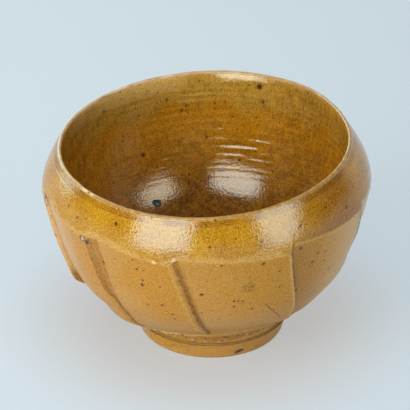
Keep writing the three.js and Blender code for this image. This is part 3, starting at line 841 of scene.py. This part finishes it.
# Painted shade: the right of the shoulder, away from the strong left lamp, takes the deep colour
olive_side_shade = bell(shoulder_angles - 54, 15)
dark_border = bell(above - 0.8, 2.6) * smooth(shoulder_angles, 26, 30) * (shoulder_angles < 100)
spots = 0.85 * marks(*shoulder_grid, shoulder_spots)
shoulder_back = inset(some_rows(shoulder_points, 0, shoulder_rows - 1, 12), coat_depth)
shoulder = make_coat(
    "shoulder_glaze", shoulder_points, shoulder_back,
    {"tint": 0.5 + 0.35 * ripple(shoulder_points, 13, 10, 35),
     "pool_and_shade": np.clip(0.85 * under_lip + 0.9 * olive_side_shade + 0.45 * dark_border, 0, 1),
     "break_and_glint": np.maximum(0.35 * bell(below_lip, 0.4), 0.42 * satin), "satin": satin,
     "pale": np.maximum(crumbs, 0.4 * ridge_highlight),
     "dark": np.maximum.reduce([pits, 0.42 * under_lip, spots])}, wraps=True)
shoulder.data.materials.append(amber_glaze)
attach(shoulder, "root")
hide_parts("shoulder_glaze")

# Inside, the glaze lies over the finger ridges of the throwing. It is olive near the lip, where it
# is thin, and pools deep brown towards the floor. It is one coat, from under the lip to the middle.
floor_height = 14.9
inside_belly_radius = 54.85
well_width = 41
wall_pull = (-2.4, -28)
inside_columns = 500
inside_rows = 150
ring_pitch = 3.1
ring_depth = 0.075
inside_lip = (lip_radius - lip_thickness, lip_edge_height)
inside_turn = (54.85, 72.6)
inside_belly = (inside_belly_radius, belly_height)
inside_curve = np.concatenate([
    bezier((0, floor_height), (well_width, floor_height), pulled(inside_belly, wall_pull),
           inside_belly),
    np.linspace(inside_belly, inside_turn, curve_points // 2)[1:],
    bezier(inside_turn, (inside_belly_radius, lip_edge_height - 1.4), inside_lip)[1:]])
run = np.concatenate([[0], np.cumsum(np.linalg.norm(np.diff(inside_curve, axis=0), axis=1))])
inside_seam = np.interp(lip_seam, inside_curve[:, 1], run)
inside_angle = np.linspace(0, 360, inside_columns, endpoint=False)[None]
inside_spots = [
    (-133.8, 72.6, 0.8), (-151.3, 48.1, 0.9), (158.0, 73.5, 1.25), (155.9, 67.3, 0.75),
    (-170.2, 62.8, 0.7), (-171.8, 64.9, 0.7), (-163.8, 68.4, 0.7), (-160.2, 72.3, 0.6),
    (159.1, 60.3, 0.5), (-157.1, 34.5, 0.6), (169.0, 59.3, 0.5), (147.6, 64.1, 0.5),
    (-178, 75.4, 0.45), (162, 73.9, 0.4), (-90, 60, 0.6), (-60, 66, 0.6), (-20, 58, 0.7),
    (25, 67, 0.6), (70, 55, 0.7), (100, 68, 0.5), (8, 44, 0.6)]


def inside_at(along):
    """The radius and height at a way along the inside's section, from the middle of the floor."""
    return np.interp(along, run, inside_curve[:, 0]), np.interp(along, run, inside_curve[:, 1])


def inside_grid(rows, lift=0.0):
    """The inside from the lip down to near the middle of the floor: the section's curve, ridged by
    a spiral sine of the way along it, and raised by a lift across the glaze."""
    along = np.linspace(inside_seam, 1.2, rows)[:, None]
    r, z = inside_at(along)
    ahead, behind = inside_at(along + 0.2), inside_at(along - 0.2)
    dr, dz = ahead[0] - behind[0], ahead[1] - behind[1]
    size = np.hypot(dr, dz)
    spiral = inside_angle / 360
    turn = np.radians(inside_angle)
    uneven = 1 + 0.7 * np.sin(2 * turn + 0.7 + along / 9) * np.sin(along / 5.3)
    phase = along / ring_pitch + spiral + 0.35 * np.sin(along / 4.7)
    unrolled = np.stack(np.broadcast_arrays(inside_angle / 2.2, along, 0 * along), -1)
    broken = 0.55 + 0.75 * ripple(unrolled, 9, 12, 47)
    ridges = ring_depth * uneven * broken * np.sin(2 * math.pi * phase)
    ridges = ridges + 0.5 * ring_depth * broken * np.sin(2 * math.pi * (along / 1.7 - 2.6 * spiral))
    ridges = ridges * mix(0.16, 1, smooth(z, 30, 44)) * smooth(along, 3, 14)
    ridges = ridges * (1 + 1.6 * bell(turn_between(inside_angle, 160), 11) * bell(z - 46, 4))
    push = ridges * (1 - smooth(along, inside_seam - 5, inside_seam - 1)) + lift
    return shaped(r - dz / size * push, inside_angle, z + dr / size * push), along, z


brown_glaze = glaze_material(
    "brown_glaze", (0.485, 0.203, 0.003, 1), (0.475, 0.262, 0.030, 1), (0.15, 0.05, 0.0005, 1),
    (0.60, 0.36, 0.10, 1), grain=0.62, sparkle=0.13, peel=8e-5, gloss=0.10, satin_gloss=0.6,
    large_share=0.7, ior=1.72, sheen_tint=(1, 0.76, 0.62, 1))
inside_points, inside_along, inside_heights = inside_grid(inside_rows)
inside_points = inside_points + relief(inside_points, 0.03, 0.0)
inside_heights = np.broadcast_to(inside_heights, inside_points.shape[:2])
inside_angles = np.broadcast_to(inside_angle, inside_points.shape[:2])
inside_back, _, _ = inside_grid(30, -coat_depth)

# Olive near the lip, deep low down, mottled, with a dull film here and there; darker away from the
# # back wall and low down at the back right, a painted shade
olive = smooth(inside_heights + 2 * ripple(inside_points, 16, 10, 41), 60.5, 68)
deep = 1 - smooth(inside_heights + 2 * ripple(inside_points, 14, 10, 43), 24, 60)
from_back = np.cos(np.radians(inside_angles - 176))
side_shade = np.maximum(1 - smooth(from_back, 0.25, 0.8),
                   0.9 * bell(turn_between(inside_angles, 128), 24))
low_side_shade = bell(turn_between(inside_angles, 142), 22) * (1 - smooth(inside_heights, 38, 58))
side_shade = side_shade + 0.7 * low_side_shade
mottle = 0.13 * ripple(inside_points, 5, 14, 45) + 0.12 * ripple(inside_points, 1.9, 14, 49)
below_seam = inside_seam - inside_along
dull_rim = smooth(below_seam, 7, 5) * smooth(np.cos(np.radians(inside_angles + 140)), 0.8, 0.9)
dull_patch = 0.16 * bell(turn_between(inside_angles, -150), 15) * bell(inside_heights - 34, 12)
inside = make_coat(
    "inside_glaze", inside_points, inside_back,
    {"tint": olive, "pool_and_shade": np.clip(np.maximum(deep * 0.9, 0.5 * side_shade) + mottle, 0, 1),
     "pale": np.zeros(1), "break_and_glint": 0.35 * bell(below_seam, 0.4),
     "satin": np.maximum(dull_rim, dull_patch),
     "dark": marks(inside_points, inside_angles, inside_heights, inside_spots)},
    wraps=True, closed_at_axis=True)
inside.data.materials.append(brown_glaze)
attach(inside, "root")
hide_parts("inside_glaze")

# A single bead of blue-black glaze sits low on the inside wall, where a crumb seems to have fallen
# in before the firing. It is a shallow dome, melted half into the coat.
bead_place = (-152.0, 30.2)
bead_radius = 1.75
bead_rise = 0.42
bead_rings, bead_spokes = 12, 32
nearest = np.argmin(np.hypot(turn_between(inside_angles, bead_place[0]),
                             inside_heights - bead_place[1]))
row, column = np.unravel_index(nearest, inside_heights.shape)
bead_middle = inside_points[row, column]
side_way = inside_points[row, (column + 1) % inside_columns] - inside_points[row, column - 1]
up_way = inside_points[row - 1, column] - inside_points[row + 1, column]
side_way /= np.linalg.norm(side_way)
up_way /= np.linalg.norm(up_way)
out_way = np.cross(up_way, side_way)
out_way *= -np.sign(out_way @ np.append(bead_middle[:2], 0))


def bead_shell(rise):
    """Rings of a dome over a disc of radius u: its height is rise times sqrt(1 - u^2), and its rim
    and its top are uneven by sines of the turn."""
    u = np.linspace(1, 0.04, bead_rings)[:, None]
    t = np.linspace(0, 2 * math.pi, bead_spokes, endpoint=False)[None]
    rim = 1 + 0.13 * np.sin(2 * t + 0.6) + 0.10 * np.sin(3 * t) + 0.04 * np.sin(7 * t)
    wide = bead_radius * u * rim
    top = 1 + 0.35 * np.sin(3 * t + 1) * u + 0.2 * np.sin(5 * t) * u
    high = rise * np.sqrt(1 - u**2 * 0.999) * top
    aside = np.cos(t)[..., None] * side_way + np.sin(t)[..., None] * up_way
    return bead_middle + wide[..., None] * aside + high[..., None] * out_way


bead_colour = (0.006, 0.018, 0.026, 1)
bead_rim = (0.03, 0.09, 0.10, 1)
bead_glaze, tree, shader = new_material("bead_glaze")
speckle = noise(tree, node(tree, "TexCoord").outputs["Object"], grain_scale, 2)
rim_patch = worked(tree, "MULTIPLY", attribute(tree, "break_and_glint"), speckle)
tree.links.new(blend_colour(tree, rim_patch, bead_colour, bead_rim), shader.inputs["Base Color"])
shader.inputs["Roughness"].default_value = 0.16
bead = make_coat("glaze_bead", bead_shell(bead_rise), bead_shell(-0.3),
                 {"break_and_glint": np.linspace(1, 0, bead_rings)[:, None] * 1.6}, wraps=True,
                 closed_at_axis=True)
bead.data.materials.append(bead_glaze)
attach(bead, "root")

# The clay shows as a thin pale line on the lip, on the ragged edge under the facets, on the shelf
# and underneath. One closed body, it runs a coat's depth beneath the glaze everywhere else.
collar_rows, edge_rows = 30, 9
edge_inside = (facet_edge_radius - 1.2, facet_edge_height - 1.5)
collar_curve = bezier((28.9, foot_height + 0.4), (28.7, edge_inside[1]), edge_inside,
                      count=collar_rows)
edge_curve = bezier(edge_inside, pulled(facet_edge, (0.15, -1.35)), facet_edge, count=edge_rows)
recess_radius = 20.6
recess_height = 8.75
recess_curve = np.array([(0.5, recess_height - 0.9), (6, recess_height - 0.4),
                         (13, recess_height - 0.05), (recess_radius - 1.4, recess_height),
                         (recess_radius, foot_height + 0.15)])
lip_turn = np.linspace(0, math.pi, 17)
lip_middle = lip_radius - lip_thickness / 2
lip_curve = np.stack([lip_middle + lip_thickness / 2 * np.cos(lip_turn),
                      lip_edge_height + lip_round * np.sin(lip_turn)], -1)
chip_angle, chip_spread, chip_depth = -49.5, 4.2, 0.3
stoneware = glaze_material(
    "stoneware", (0.54, 0.315, 0.085, 1), (0.48, 0.255, 0.06, 1), (0.30, 0.125, 0.010, 1),
    (0.66, 0.44, 0.15, 1), grain=0.34, sparkle=0.2, peel=6e-5, gloss=0.2, satin_gloss=0.42,
    speck=0.7, ior=1.4)


def round_grid(curve, swell=None):
    """A section carried round the bowl, one column at each of the bowl's own columns."""
    r, z = curve[:, 0][:, None], curve[:, 1][:, None]
    z = np.broadcast_to(z, (len(curve), len(column_angle)))
    if swell:
        r = r + swell(z)
    angle = column_turn(r, z)
    return shaped(r, angle, z), angle, z


rows_under, _, _ = round_grid(recess_curve)
rows_collar, _, _ = round_grid(collar_curve[::3] + np.array([-clay_depth, clay_depth * 0.6]))
rows_edge, edge_angles, _ = round_grid(edge_curve, edge_swell)
ragged = 0.75 * bell(edge_angles + 24, 17) + 0.25
ragged = ragged * (0.30 * ripple(rows_edge, 1.6, 16, 51) + 0.30 * ripple(rows_edge, 4.5, 12, 53))
edge_row = np.arange(edge_rows)[:, None]
rows_edge[..., 2] += ragged * smooth(edge_row, 1, 5) * (1 - smooth(edge_row, 6, 8))
rows_facet = inset(some_rows(facet_points, 4, facet_rows - 1, 30), clay_depth)
rows_shoulder = inset(some_rows(shoulder_points, 1, shoulder_rows * 15 // 16 - 1, 12), clay_depth)
rows_lip, lip_angles, _ = round_grid(lip_curve)
rows_lip = rows_lip + relief(rows_lip, 0.05, 0.06)
chip = np.exp(-((lip_angles - chip_angle) / chip_spread) ** 4)
chip = chip * smooth(ripple(rows_lip, 2.5, 12, 61), -0.9, 0.1)
rows_lip[..., 2] -= chip_depth * chip
hidden_way = np.linspace(inside_seam - 0.6, 1.5, 30)
hidden_steep = smooth(hidden_way, 20, 45)
hidden_radius, hidden_height = inside_at(hidden_way)
inside_hidden = np.stack([hidden_radius + clay_depth * 1.3 * hidden_steep,
                          hidden_height - clay_depth * 1.3 * (1 - hidden_steep)], -1)
rows_inside, _, _ = round_grid(inside_hidden)

# These strips of rows, from the middle underneath, over the lip, to the middle inside, are one skin
strips = [rows_under, rows_collar, rows_edge, rows_facet, rows_shoulder, rows_lip, rows_inside]
strip_of_row = np.repeat(np.arange(len(strips)), [len(rows) for rows in strips])
on_edge, on_lip = strip_of_row == 2, strip_of_row == 5
body_rows = np.concatenate(strips)
total, count = body_rows.shape[:2]
body_points = np.concatenate([body_rows.reshape(-1, 3), body_rows[0].mean(0)[None],
                              body_rows[-1].mean(0)[None]])
c = np.arange(count)
d = (c + 1) % count
under = total * count
last = (total - 1) * count
body_triangles = np.concatenate([fan(d, c, under), fan(last + c, last + d, under + 1)])
body_break, body_pool, body_dark, body_pale, body_satin = np.zeros((5, total, count))
crack_side = bell(edge_angles + 24, 20)
body_break[on_lip] = 0.08 + 0.1 * ripple(rows_lip, 3, 12, 63)
body_break[on_edge] = 0.04 + 0.36 * crack_side
body_pool[on_lip] = 0.62 + 0.2 * ripple(rows_lip, 2.5, 12, 65)
body_pool[on_edge] = 0.4 * (1 - 0.7 * crack_side)
cracks = smooth(ripple(rows_edge, 3, 12, 67), -0.7, 0.2)
body_dark[on_edge] = 0.85 * bell(edge_row - 3, 1.4) * crack_side * cracks
rim_pale = bell(turn_between(lip_angles, -145), 62) * (0.8 + 0.3 * ripple(rows_lip, 6, 12, 69))
body_pale[on_lip] = np.maximum(0.65 * chip, 0.6 * rim_pale)
body_satin[~on_lip] = 1
fields = {"break_and_glint": body_break, "pool_and_shade": body_pool, "dark": body_dark, "pale": body_pale}
fields = {key: np.append(values.ravel(), (0, 0)) for key, values in fields.items()}
body = make_piece("clay_body", body_points, grid_faces(total, count, True), body_triangles,
                  {"tint": np.full(len(body_points), 0.4), **fields,
                   "satin": np.append(body_satin.ravel(), (1, 1))})
body.data.materials.append(stoneware)
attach(body, "root")
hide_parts("clay_body")

# The collar is the cove turned between the foot and the facets. Glaze has run down into it and
# hangs there thick and shiny, in a beaded line above the bare shelf.
collar_points, collar_angles, collar_heights = round_grid(collar_curve)
collar_back, _, _ = round_grid(collar_curve[::5] + np.array([-0.35, 0.3]))
glaze_foot = smooth(collar_angles, 0, 22) * (1 - smooth(collar_angles, 48, 66))
glaze_foot = foot_height + 0.7 + 1.1 * glaze_foot
low_down = bell(collar_heights - glaze_foot - 0.3, 0.55)
beads = np.clip(ripple(collar_points, 1.7, 18, 71), 0, 2) * low_down
collar_points = collar_points + outward(collar_points) * (0.22 * beads)[..., None]
fringe = bell(collar_heights - glaze_foot + 0.25, 0.3)
fringe = fringe * smooth(ripple(collar_points, 3, 14, 73), -0.6, 0.6)
bare = 1 - smooth(collar_heights, glaze_foot - 0.5, glaze_foot - 0.1)
collar_tint = 0.5 + 0.4 * ripple(collar_points, 5, 10, 75)
thick = 0.18 + 0.3 * smooth(ripple(collar_points, 4, 12, 77), -0.2, 0.8)
collar = make_coat("collar_glaze", collar_points, collar_back,
                   {"tint": collar_tint, "satin": bare,
                    "pool_and_shade": (1 - bare) * thick, "dark": 0.22 * fringe,
                    # Painted highlights: the bead tops are painted paler, by the break and pale shares
                    # here
                    "break_and_glint": np.maximum(0.3 * bare, 0.25 * np.clip(beads, 0, 1)),
                    "pale": 0.35 * smooth(beads, 0.7, 1.3)}, wraps=True)
collar.data.materials.append(amber_glaze)
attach(collar, "root")
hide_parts("collar_glaze")

# The foot ring is turned from the same clay and tapers in to where it stands. Its wall has a thin
# wash of glaze, wiped off along the edge that meets the table.
foot_columns = 720
foot_turn = np.linspace(0, 360, foot_columns, endpoint=False)[None]
foot_under = [(21.6, 0.9), (22.0, 0.25), (22.6, 0), (26.8, 0), (27.4, 0.25), (27.7, 0.8)]
foot_outer = [(27.75, 0.95), (28.1, 2.4), (28.45, 3.6), (28.95, 5.2), (29.45, 6.75)]
foot_top = [(29.1, 7.0), (28.8, 7.2), (20.6, 7.2)]
foot_curve = foot_under + [(r - 0.4, z) for r, z in foot_outer] + foot_top
iron_patch = (22.0, 2.45)


def foot_grid(curve):
    """A section carried round the foot, which the wheel left nearly true."""
    curve = np.array(curve)
    points = shaped(curve[:, 0][:, None], foot_turn,
                    np.broadcast_to(curve[:, 1][:, None], (len(curve), foot_columns)))
    return points + relief(points, 0.03, 0.015) * smooth(points[..., 2:], 0, 0.6)


foot_rows = foot_grid(foot_curve)
spoke = np.arange(foot_columns)
next_spoke = (spoke + 1) % foot_columns
last = (len(foot_curve) - 1) * foot_columns
closing = np.stack([last + spoke, last + next_spoke, next_spoke, spoke], -1)
zeros = np.zeros(foot_rows.shape[0] * foot_columns)
foot_faces = np.concatenate([grid_faces(len(foot_curve), foot_columns, True), closing])
foot = make_piece("foot_ring", foot_rows.reshape(-1, 3), foot_faces, (),
                  {"tint": zeros + 0.5, "pool_and_shade": zeros, "break_and_glint": zeros, "dark": zeros, "pale": zeros,
                   "satin": zeros + 1})
foot.data.materials.append(stoneware)
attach(foot, "root")
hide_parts("foot_ring")

wash_curve = bezier(*[foot_outer[0], (28.35, 3.2), (29.0, 5.0), (29.55, 6.8)], count=40)
wash_face = foot_grid(wash_curve)
wash_back = foot_grid(wash_curve[::8] - np.array([0.38, 0]))
wash_heights = np.broadcast_to(wash_curve[:, 1][:, None], wash_face.shape[:2])
turn_from = turn_between(foot_turn, 0)
patch_along = (turn_from - iron_patch[0]) * math.radians(28)
patch_up = wash_heights - iron_patch[1] - 0.28 * patch_along
patch = np.hypot(patch_along / 2.0, patch_up / 0.9) + 0.1 * ripple(wash_face, 2, 10, 83)
run_line = 7.6 - 5.8 * smooth(turn_from, -2, -52) - 2 * smooth(turn_from, -46, -64)
run_line = run_line + 7.8 * smooth(-turn_from, 95, 140) + 0.35 * ripple(wash_face, 3.2, 12, 85)
run_down = smooth(wash_heights, run_line - 0.25, run_line + 0.25)
run_edge = bell(wash_heights - run_line, 0.4)
run_beads = np.clip(ripple(wash_face, 1.7, 18, 87), 0, 2) * run_edge
wash_face = wash_face + outward(wash_face) * (0.12 * run_down + 0.2 * run_beads)[..., None]
foot_edge = 0.5 * bell(wash_heights - 0.95, 0.4)
foot_wash = glaze_material(
    "foot_wash", amber_light, (0.56, 0.268, 0.040, 1), satin_pool_and_shade, satin_break_and_glint, grain=0.24,
    sparkle=0.16, peel=4.5e-5, gloss=0.13, satin_gloss=0.34, large_share=0.16, ior=1.45)
wash = make_coat("foot_glaze", wash_face, wash_back,
                 {"tint": 1.15 * (1 - run_down) + 0.15 * ripple(wash_face, 8, 10, 81),
                  "satin": 1 - run_down, "pool_and_shade": 0.5 * bell(wash_heights - run_line + 0.45, 0.3),
                  # Painted highlights: the beads along the run line are painted paler, by the break
                  # and pale shares
                  "break_and_glint": foot_edge + 0.4 * np.clip(run_beads, 0, 1),
                  "pale": 0.4 * smooth(run_beads, 0.7, 1.3),
                  "dark": 0.9 * (1 - smooth(patch, 0.7, 1.15))}, wraps=True)
wash.data.materials.append(foot_wash)
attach(wash, "root")
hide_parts("foot_glaze")
